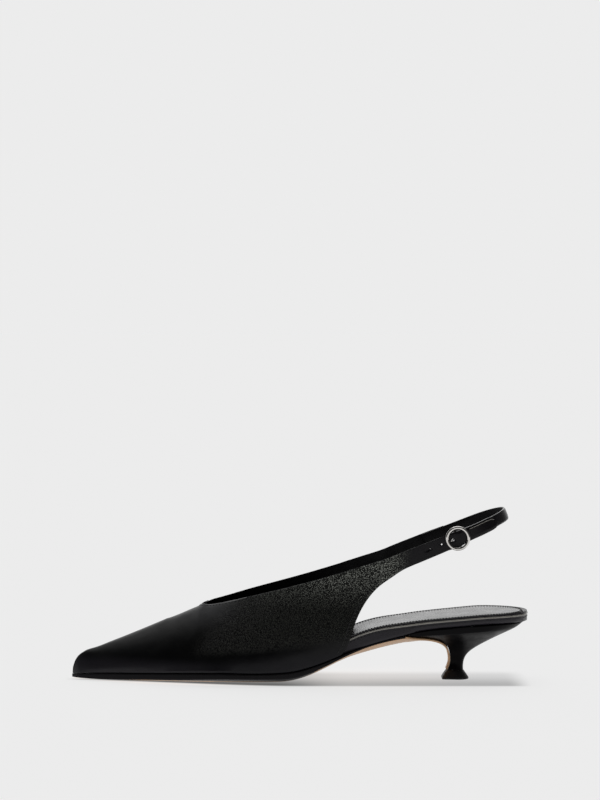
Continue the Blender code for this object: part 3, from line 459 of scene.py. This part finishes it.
def polished_metal(name, shade):
    """Polished metal with faint wear."""
    tree = NodeTree(name)
    place = tree.place()
    wear = tree.noise(900.0, 3.0, place)
    tree.set(Metallic=1.0)
    tree.join(tree.blend(wear, times(shade, 0.94), tuple(shade)), tree.shader.inputs["Base Color"])
    tree.join(tree.spread(wear, 0.3, 0.7, 0.10, 0.20), tree.shader.inputs["Roughness"])
    tree.join(tree.bump(wear, 0.000008), tree.shader.inputs["Normal"])
    return tree.material


def waxed_thread(name, shade):
    """Twisted thread, slightly waxed."""
    tree = NodeTree(name)
    place = tree.place()
    twist = tree.noise(4000.0, 2.0, place)
    tree.join(tree.blend(twist, times(shade, 0.7), times(shade, 1.5)), tree.shader.inputs["Base Color"])
    tree.join(tree.bump(twist, 0.00004), tree.shader.inputs["Normal"])
    tree.set(Roughness=0.5)
    return tree.material


class PUMP_OT_upper(bpy.types.Operator):
    """Dress the upper: grained outside, smooth lining inside"""

    bl_idname = "pump.upper"
    bl_label = "Upper"

    def execute(self, context):
        look = context.scene.pump_leather
        skin = skin_of("upper", "vamp_and_wings", 38, 0.85, 2)
        ease_fold(skin, 0.126, 0.164)
        cover(
            skin,
            grained_leather("grained_upper_leather", look),
            smooth_leather("lining_leather", look.lining_colour, 0.55, coat=0.0, shine=0.15),
            smooth_leather("folded_edge", look.toe_colour, 0.60, 0.0001, coat=0.0, shine=0.1),
            smooth_leather("tab_edge", look.tab_colour, 0.13, 0.0, coat=0.3, shine=0.6),
        )
        paint(skin, 1, inside_of_upper)
        paint(skin, 2, lambda centre, normal: normal.z > 0.7 and 0.0 < centre.x < 0.118)
        paint(skin, 3, lambda centre, normal: normal.z > 0.6 and centre.x < -0.003)
        press_down(skin, 0.0010)
        dress(skin, "upper")
        return {"FINISHED"}


def ease_fold(skin, rear, front):
    """Eases the leather between two places along the shoe, all but its edges."""
    activate(skin)
    bpy.ops.object.mode_set(mode="EDIT")
    bpy.ops.mesh.select_mode(type="VERT")
    bpy.ops.mesh.select_all(action="DESELECT")
    shape = bmesh.from_edit_mesh(skin.data)
    for vertex in shape.verts:
        bent = max((edge.calc_face_angle(0.0) for edge in vertex.link_edges), default=0.0)
        vertex.select_set(rear < vertex.co.x < front and bent < math.radians(24))
    bmesh.update_edit_mesh(skin.data)
    bpy.ops.mesh.vertices_smooth(factor=0.5, repeat=60)
    bpy.ops.object.mode_set(mode="OBJECT")


def inside_of_upper(centre, normal):
    """Whether a face looks at the foot."""
    core = Vector((centre.x, -0.006 * max(centre.x, 0), min(centre.z, 0.012)))
    away = centre - core
    away.x = 0
    return normal.dot(away) < -0.0005


class PUMP_OT_sling(bpy.types.Operator):
    """Dress the sling strap"""

    bl_idname = "pump.sling"
    bl_label = "Sling Strap"

    def execute(self, context):
        look = context.scene.pump_leather
        skin = skin_of("sling_strap", "sling_leather", 50, 0.6, 2)
        cover(
            skin,
            smooth_leather("sling_smooth_leather", look.tab_colour, 0.30, 0.0002),
            smooth_leather("sling_edge", look.tab_colour, 0.13, 0.0, coat=0.3, shine=0.6),
            smooth_leather("sling_lining", look.lining_colour, 0.55, coat=0.0, shine=0.15),
        )
        paint(skin, 1, lambda centre, normal: normal.z > 0.6 and centre.y > 0.0 and centre.x < -0.006)
        paint(skin, 2, inside_of_sling)
        press_down(skin, 0.0008)
        dress(skin, "sling_strap")
        return {"FINISHED"}


def inside_of_sling(centre, normal):
    """Whether a face of the strap looks at the heel of the foot."""
    away = Vector((min(centre.x + 0.004, 0.0), centre.y, 0.0))
    return normal.dot(away.normalized()) < -0.5


class PUMP_OT_insole(bpy.types.Operator):
    """Dress the wrapped insole and the sock that lies in it"""

    bl_idname = "pump.insole"
    bl_label = "Insole and Sock"

    def execute(self, context):
        look = context.scene.pump_leather
        board = skin_of("insole", "wrapped_insole", 40, 0.7, 2)
        cover(board, smooth_leather("rand_cover", look.rand_colour, 0.32, 0.0002, coat=0.05, shine=0.22))
        dress(board, "insole")
        sock = skin_of("sock", "lining_sock", 40, 0.9, 2)
        cover(sock, smooth_leather("glazed_lining", look.sock_colour, 0.24, 0.0004, 0.00005, 0.3, 0.4))
        dress(sock, "sock")
        return {"FINISHED"}


class PUMP_OT_sole(bpy.types.Operator):
    """Dress the outsole, painted black round its edge, the black reaching onto the forepart's underside as
    painted shade
    """

    bl_idname = "pump.sole"
    bl_label = "Outsole"

    def execute(self, context):
        look = context.scene.pump_sole
        skin = skin_of("outsole", "leather_sole", 40, 0.92, 2)
        cover(
            skin,
            sole_leather("tan_sole_leather", look.tan_colour),
            smooth_leather("edge_paint_and_shade", look.edge_and_shade_colour, 0.36, 0.0002, coat=0.0, shine=0.08),
        )
        paint(skin, 1, painted_edge)
        dress(skin, "outsole")
        return {"FINISHED"}


def painted_edge(centre, normal):
    """Whether a face of the sole belongs to its painted side wall or its hidden upper face; in the forepart
    the black also covers the underside's rounding as painted shade.
    """
    # Towards the forepart the limit drops, so the black takes in the underside's rounding: painted shade
    # there
    ahead = min(max((centre.x - 0.055) / 0.035, 0.0), 1.0)
    wall = math.hypot(normal.x * 0.6, normal.y) > 0.6 - 0.39 * ahead
    return centre.x > SOLE_BREAST and (wall or normal.z > 0.3)


class PUMP_OT_heel(bpy.types.Operator):
    """Dress the covered heel and its top piece"""

    bl_idname = "pump.heel"
    bl_label = "Heel"

    def execute(self, context):
        look = context.scene.pump_leather
        sole = context.scene.pump_sole
        skin = skin_of("heel", "covered_heel", 35, 1.0, 2)
        cover(skin, smooth_leather("heel_leather", look.heel_colour, 0.36, 0.0003, coat=0.0, shine=0.07))
        dress(skin, "heel")
        block = skin_of("top_piece", "heel_block", 30, 0.95, 2)
        cover(block, rubber("black_rubber", sole.rubber_colour))
        dress(block, "top_piece")
        return {"FINISHED"}


def cord_of(name, points, radius):
    """Round cord along the points, turned into a mesh."""
    data = bpy.data.curves.new(name, "CURVE")
    data.dimensions = "3D"
    data.bevel_depth = radius
    data.bevel_resolution = 2
    data.use_fill_caps = True
    line = data.splines.new("POLY")
    line.points.add(len(points) - 1)
    for knot, place in zip(line.points, points):
        knot.co = (*place, 1.0)
    cord = bpy.data.objects.new(name, data)
    bpy.context.scene.collection.objects.link(cord)
    activate(cord)
    bpy.ops.object.convert(target="MESH")
    bpy.ops.object.shade_smooth()
    return bpy.context.object


def stitch_shape(size, thickness):
    """One stitch: a thread lying along z with x outwards, its ends pulled down into the leather.

    Its faces are sorted by place, because extruding leaves them in no fixed order.
    """
    deselect()
    bpy.ops.mesh.primitive_cylinder_add(vertices=8, radius=thickness / 2, depth=size * 0.62)
    stitch = bpy.context.object
    bpy.ops.object.mode_set(mode="EDIT")
    bpy.ops.mesh.select_mode(type="FACE")
    for side in (1, -1):
        bpy.ops.mesh.select_all(action="DESELECT")
        shape = bmesh.from_edit_mesh(stitch.data)
        for face in shape.faces:
            face.select_set(face.normal.z * side > 0.9)
        bmesh.update_edit_mesh(stitch.data)
        down = (-0.45 * thickness, 0.0, side * size * 0.14)
        bpy.ops.mesh.extrude_region_move(TRANSFORM_OT_translate={"value": down})
        bpy.ops.transform.resize(value=(0.5, 0.5, 1.0))
    bpy.ops.object.mode_set(mode="OBJECT")
    points = [v.co.copy() for v in stitch.data.vertices]
    faces = [tuple(p.vertices) for p in stitch.data.polygons]
    faces.sort(key=lambda face: [tuple(points[corner]) for corner in face])
    bpy.data.objects.remove(stitch)
    return points, faces


def walk(line, pitch):
    """Places a pitch apart along a line of (point, outward normal), each with its direction and normal."""
    found = []
    left = pitch / 2
    for (start, first), (end, second) in zip(line, line[1:]):
        span = (end - start).length
        along = (end - start).normalized()
        while left < span:
            up = first.lerp(second, left / span)
            up = (up - along * up.dot(along)).normalized()
            found.append((start.lerp(end, left / span), along, up))
            left += pitch
        left -= span
    return found


def sew(name, lines, pitch, thickness):
    """A seam of single stitches along the lines, as one piece."""
    shape, faces = stitch_shape(pitch * 0.72, thickness)
    points = []
    sides = []
    for line in lines:
        for place, along, up in walk(line, pitch):
            across = along.cross(up)
            start = len(points)
            lifted = place + up * thickness * 0.12
            points += [lifted + up * p.x + across * p.y + along * p.z for p in shape]
            sides += [tuple(start + corner for corner in face) for face in faces]
    mesh = bpy.data.meshes.new(name)
    mesh.from_pydata(points, [], sides)
    seam = bpy.data.objects.new(name, mesh)
    bpy.context.scene.collection.objects.link(seam)
    activate(seam)
    bpy.ops.object.shade_smooth()
    return seam


def seat_outline(board):
    """Outer edge of the insole from above, from one wing round the seat to the other.

    Each place comes with the direction that points out from the edge.
    """
    middle = Vector((0.02, 0.0, 0.0))

    def covers(reach, toward):
        return board.ray_cast(middle + toward * reach + ABOVE, DOWN)[0] is not None

    edge = []
    for step in range(0, 77):
        angle = math.radians(28 + step * 4)
        toward = Vector((math.cos(angle), math.sin(angle), 0.0))
        edge.append(middle + toward * last_within(lambda reach: covers(reach, toward), 0.015, 0.075))
    outline = []
    for index, place in enumerate(edge):
        along = edge[min(index + 1, len(edge) - 1)] - edge[max(index - 1, 0)]
        out = Vector((along.y, -along.x, 0.0)).normalized()
        top = board.ray_cast(place - out * 0.0009 + ABOVE, DOWN)[0]
        outline.append((Vector((place.x, place.y, top.z)), out))
    return outline


def line_below_edge(board, outline, drop, sunk):
    """Line on the insole's wall, drop below its upper edge and sunk into it: places and normals."""
    line = []
    for place, out in outline:
        start = place + out * 0.01 - Vector((0, 0, drop))
        hit, normal = board.ray_cast(start, -out)[:2]
        if hit is not None:
            line.append((hit - normal * sunk, normal))
    return line


def line_on_top(tree, outline, inset):
    """Line on an upward face, inset from the insole's edge: places and normals."""
    line = []
    for place, out in outline:
        hit, normal = tree.ray_cast(place - out * inset + Vector((0, 0, 0.05)), DOWN)[:2]
        if hit is not None:
            line.append((hit, normal))
    return line


def topline(upper, margin):
    """Line on the outside of the upper, a margin away from its opening.

    It runs from the outer tab round the throat to the inner one.
    """
    starts = [(0.036 + 0.004 * step, math.pi / 2) for step in range(22)]
    starts += [(0.120, math.radians(90 - 9 * step)) for step in range(1, 20)]
    starts += [(0.120 - 0.004 * step, -math.pi / 2) for step in range(1, 22)]
    line = []
    for x, angle in starts:
        out = Vector((math.cos(angle), math.sin(angle), 0.0))
        edge = opening_edge(upper, Vector((x, 0.0, 0.0)), out)
        if edge is None:
            continue
        before = edge + out * margin * math.cos(1.3) + Vector((0, 0, margin * math.sin(1.3)))
        for step in range(1, 26):
            turn = 1.3 - step * 0.13
            after = edge + out * margin * math.cos(turn) + Vector((0, 0, margin * math.sin(turn)))
            move = after - before
            hit, normal = upper.ray_cast(before, move.normalized(), move.length)[:2]
            if hit is not None and normal.dot(out) + normal.z > 0:
                line.append((hit, normal))
                break
            before = after
    return line


def opening_edge(upper, start, out):
    """Where the upper begins, going out from the middle of its opening."""
    reach = 0.0
    while reach < 0.06:
        reach += 0.0005
        hit = upper.ray_cast(start + out * reach + ABOVE, DOWN)[0]
        if hit is not None and hit.z > 0.03:
            return hit + out * 0.0002
    return None


def look_in(upper, side, x, z):
    """First place, and its normal, that a ray from the outer (1) or inner (-1) side meets."""
    return upper.ray_cast(Vector((x, side * BESIDE, z)), Vector((0, -side, 0)))[:2]


def wing_line(upper, side, low, high, margin):
    """Line on the outside of a wing, a margin ahead of its rear edge: places and normals."""

    def on_wing(x, z):
        hit = look_in(upper, side, x, z)[0]
        return hit is not None and hit.y * side > 0

    line = []
    for step in range(15):
        z = low + (high - low) * step / 14
        if not on_wing(0.085, z):
            continue
        x = last_within(lambda reach: on_wing(reach, z), 0.085, 0.02) + margin
        hit, normal = look_in(upper, side, x, z)
        if hit is not None:
            line.append((hit, normal))
    return line


def tab_line(upper, drop):
    """Line on the outer tab behind the buckle, drop below its upper edge."""

    def on_tab(x, z):
        hit = look_in(upper, 1, x, z)[0]
        return hit is not None and hit.y > OUTER_SIDE

    line = []
    for step in range(14):
        x = -0.0065 - step * 0.0011
        middle = strap_height(x)
        if on_tab(x, middle):
            top = last_within(lambda z: on_tab(x, z), middle, middle + 0.008)
            hit, normal = look_in(upper, 1, x, top - drop)
            line.append(hit - normal * 0.00008)
    return line


class PUMP_OT_seams(bpy.types.Operator):
    """Sew the topline, the wings and the sock, and lay the piping round the insole"""

    bl_idname = "pump.seams"
    bl_label = "Seams and Piping"

    def execute(self, context):
        look = context.scene.pump_thread
        thread = waxed_thread("black_thread", look.thread_colour)
        upper = surface_of("vamp_and_wings")
        board = surface_of("wrapped_insole")
        sock = surface_of("lining_sock")
        outline = seat_outline(board)
        opening = [topline(upper, look.margin)]
        wings = [wing_line(upper, side, 0.020, 0.060, look.wing_margin) for side in (1, -1)]
        seat = [line_on_top(sock, outline, look.sock_margin)]
        rand = [line_below_edge(board, outline, look.rand_seam, 0)]
        seams = (
            ("topline_stitches", opening, "upper_leather", look.pitch, 1.0),
            ("wing_stitches", wings, "upper_leather", look.pitch, 1.3),
            ("sock_stitches", seat, "sock_leather", look.sock_pitch, 1.4),
            ("rand_stitches", rand, "rand_leather", look.pitch, 1.0),
        )
        for name, lines, slot, pitch, heavier in seams:
            seam = sew(name, lines, pitch, look.thickness * heavier)
            cover(seam, thread)
            dress(seam)
        # The piping and the tab's fold are real cords; their pale colour is a painted highlight
        highlight_leather = smooth_leather("piping_painted_highlight", look.piping_highlight_colour, 0.24, 0.0001)
        line = line_below_edge(board, outline, look.piping_drop, look.piping * 0.15)
        piping = cord_of("rand_piping", [place for place, _ in line], look.piping / 2)
        cover(piping, highlight_leather)
        dress(piping)
        fold = cord_of("tab_fold", tab_line(upper, look.fold_drop), 0.00022)
        cover(fold, highlight_leather)
        dress(fold)
        for side, name in ((1, "outer_wing_seam"), (-1, "inner_wing_seam")):
            line = wing_line(upper, side, 0.0175, 0.058, look.wing_margin + 0.0009)
            seam = cord_of(name, [place for place, _ in line], 0.00026)
            cover(seam, thread)
            dress(seam)
        return {"FINISHED"}


def hole_middle(upper, x, z):
    """Middle of the punched hole near x and z on the outer tab, in the plane of its outer face."""
    missing = []
    touched = []
    for column in range(-14, 15):
        for row in range(-14, 15):
            spot = Vector((x + column * 0.0001, BESIDE, z + row * 0.0001))
            hit = look_in(upper, 1, spot.x, spot.z)[0]
            if hit is None or hit.y < 0.015:
                missing.append(spot)
            else:
                touched.append(hit.y)
    if not missing or not touched:
        raise RuntimeError("no punched hole was found on the tab")
    middle = sum(missing, Vector()) / len(missing)
    return Vector((middle.x, max(touched), middle.z))


class PUMP_OT_buckle(bpy.types.Operator):
    """Dress the buckle and its prong, and press the lips of the spare holes"""

    bl_idname = "pump.buckle"
    bl_label = "Buckle"

    def execute(self, context):
        look = context.scene.pump_buckle
        metal = polished_metal("polished_silver", look.silver)
        ring = skin_of("buckle_frame", "round_buckle", 60, 0.2, 1)
        cover(ring, metal)
        dress(ring, "buckle_frame")
        pin = skin_of("buckle_prong", "buckle_pin", 60, 0.2, 1)
        cover(pin, metal)
        dress(pin, "buckle_prong")
        upper = surface_of("vamp_and_wings")
        tab_colour = context.scene.pump_leather.tab_colour
        leather = smooth_leather("hole_lip_leather", tab_colour, 0.34, 0.0001)
        holes = (
            ("first_hole_lip", 0.0087, 0.0791, look.hole),
            ("second_hole_lip", 0.0150, 0.0767, look.tight_hole),
        )
        for name, x, z, width in holes:
            lip = (PUNCH_WIDTH - width) / 4
            deselect()
            bpy.ops.mesh.primitive_torus_add(
                major_segments=24,
                minor_segments=8,
                major_radius=width / 2 + lip * 1.3,
                minor_radius=lip * 1.3,
                location=hole_middle(upper, x, z) - Vector((0, lip, 0)),
                rotation=(math.radians(90), 0, 0),
            )
            rim = context.object
            rim.name = name
            bpy.ops.object.transform_apply(location=True, rotation=True, scale=True)
            bpy.ops.object.shade_smooth()
            cover(rim, leather)
            dress(rim)
        return {"FINISHED"}


class PUMP_OT_studio(bpy.types.Operator):
    """Set the plain floor, the soft light and the camera"""

    bl_idname = "pump.studio"
    bl_label = "Studio"

    def execute(self, context):
        look = context.scene.pump_studio
        deselect()
        bpy.ops.mesh.primitive_plane_add(size=80.0, location=(0.09, 0.0, -0.0002))
        floor = context.object
        floor.name = "studio_floor"
        bpy.ops.object.transform_apply(location=True, rotation=True, scale=True)
        cover(floor, pale_floor("pale_floor", look))
        light_the_studio(look)
        aim_the_camera(look)
        context.scene.view_settings.view_transform = "Standard"
        return {"FINISHED"}


def pale_floor(name, look):
    """Even pale floor with a painted shadow under the shoe, darkest along its near edge and under the
    forepart.
    """
    tree = NodeTree(name)
    axes = tree.add("ShaderNodeSeparateXYZ")
    tree.join(tree.place(), axes.inputs["Vector"])
    along, across = axes.outputs["X"], axes.outputs["Y"]
    near = tree.spread(along, 0.085, 0.235, look.shade_width, 0.004)
    inward = tree.math("SUBTRACT", near, across)
    far = tree.math("SUBTRACT", across, tree.spread(along, 0.100, 0.225, -0.036, -0.006))
    # Painted shadow: colour and glow darkened under the shoe, most along its near edge and under the forepart
    shade = tree.product(
        tree.spread(inward, -0.003, 0.004, 0.0, 1.0),
        tree.spread(far, 0.0, 0.024, 0.0, 1.0),
        tree.spread(along, -0.043, -0.028, 0.0, 1.0),
        tree.spread(along, 0.212, 0.224, 1.0, 0.0),
        tree.spread(inward, 0.0, 0.045, 0.44, 0.18),
        tree.spread(along, 0.060, 0.105, 1.0, 1.9),
    )
    tree.join(tree.blend(shade, tuple(look.floor_colour), (0.0, 0.0, 0.0)), tree.shader.inputs["Base Color"])
    tree.join(tree.blend(shade, (1.0, 1.0, 1.0), (0.0, 0.0, 0.0)), tree.shader.inputs["Emission Color"])
    tree.join(tree.spread(tree.noise(30.0), 0.3, 0.7, 0.85, 0.95), tree.shader.inputs["Roughness"])
    tree.set(Specular_IOR_Level=0.0, Emission_Strength=look.floor_glow)
    return tree.material


def light_the_studio(look):
    """One soft surround: a large light behind and above, pale behind the shoe and dark behind the camera."""
    world = bpy.data.worlds.new("soft_studio")
    bpy.context.scene.world = world
    world.use_nodes = True
    nodes = world.node_tree.nodes
    links = world.node_tree.links
    place = nodes.new("ShaderNodeTexCoord")
    axes = nodes.new("ShaderNodeSeparateXYZ")
    links.new(place.outputs["Generated"], axes.inputs["Vector"])
    toward = nodes.new("ShaderNodeVectorMath")
    toward.operation = "DOT_PRODUCT"
    links.new(place.outputs["Generated"], toward.inputs[0])
    toward.inputs[1].default_value = (0.0, -math.cos(math.radians(68)), math.sin(math.radians(68)))

    def ramp(value, low, high, to_low, to_high):
        node = nodes.new("ShaderNodeMapRange")
        node.interpolation_type = "SMOOTHSTEP"
        for name, number in (("From Min", low), ("From Max", high), ("To Min", to_low), ("To Max", to_high)):
            node.inputs[name].default_value = number
        links.new(value, node.inputs["Value"])
        return node.outputs["Result"]

    def total(first, second):
        node = nodes.new("ShaderNodeMath")
        links.new(first, node.inputs[0])
        links.new(second, node.inputs[1])
        return node.outputs["Value"]

    behind = ramp(axes.outputs["Y"], -0.92, -0.60, look.backdrop - look.sides, 0.0)
    beside = ramp(axes.outputs["Y"], -0.20, 0.30, look.sides, look.front)
    lamp = ramp(toward.outputs["Value"], 0.78, 0.98, 0.0, look.overhead)
    background = nodes["Background"]
    links.new(total(total(behind, beside), lamp), background.inputs["Strength"])
    background.inputs["Color"].default_value = (1.0, 1.0, 1.0, 1.0)


def aim_the_camera(look):
    """Level camera on the shoe's outer side, its picture moved down onto the shoe."""
    data = bpy.data.cameras.new("studio_camera")
    data.sensor_width = 36.0
    data.lens = 118.125
    data.shift_y = -0.1
    data.clip_start = 0.05
    data.clip_end = 200.0
    camera = bpy.data.objects.new("studio_camera", data)
    bpy.context.scene.collection.objects.link(camera)
    camera.location = (0.0886, look.camera_distance, 0.2046)
    camera.rotation_euler = (math.radians(90), 0.0, math.radians(180))
    bpy.context.scene.camera = camera


class PUMP_PT_panel(bpy.types.Panel):
    """Buttons and sizes of the slingback pump's looks"""

    bl_idname = "PUMP_PT_panel"
    bl_label = "Slingback Pump"
    bl_space_type = "VIEW_3D"
    bl_region_type = "UI"
    bl_category = "Slingback"

    def draw(self, context):
        layout = self.layout
        for settings, kinds in GROUPS:
            box = layout.box()
            group = getattr(context.scene, settings)
            for name in group.bl_rna.properties.keys():
                if name not in ("rna_type", "name"):
                    box.prop(group, name)
            for kind in kinds:
                box.operator(kind.bl_idname)


GROUPS = (
    ("pump_leather", (PUMP_OT_upper, PUMP_OT_sling, PUMP_OT_insole)),
    ("pump_sole", (PUMP_OT_sole, PUMP_OT_heel)),
    ("pump_thread", (PUMP_OT_seams,)),
    ("pump_buckle", (PUMP_OT_buckle,)),
    ("pump_studio", (PUMP_OT_studio,)),
)
SETTINGS = {
    "pump_leather": LeatherSettings,
    "pump_sole": SoleSettings,
    "pump_thread": ThreadSettings,
    "pump_buckle": BuckleSettings,
    "pump_studio": StudioSettings,
}


def register():
    for name, kind in SETTINGS.items():
        bpy.utils.register_class(kind)
        setattr(bpy.types.Scene, name, PointerProperty(type=kind))
    for _, kinds in GROUPS:
        for kind in kinds:
            bpy.utils.register_class(kind)
    bpy.utils.register_class(PUMP_PT_panel)


def unregister():
    bpy.utils.unregister_class(PUMP_PT_panel)
    for _, kinds in GROUPS:
        for kind in kinds:
            bpy.utils.unregister_class(kind)
    for name, kind in SETTINGS.items():
        delattr(bpy.types.Scene, name)
        bpy.utils.unregister_class(kind)


def main():
    register()
    bpy.ops.pump.upper()
    bpy.ops.pump.sling()
    bpy.ops.pump.insole()
    bpy.ops.pump.sole()
    bpy.ops.pump.heel()
    bpy.ops.pump.seams()
    bpy.ops.pump.buckle()
    bpy.ops.pump.studio()


if __name__ == "__main__":
    main()
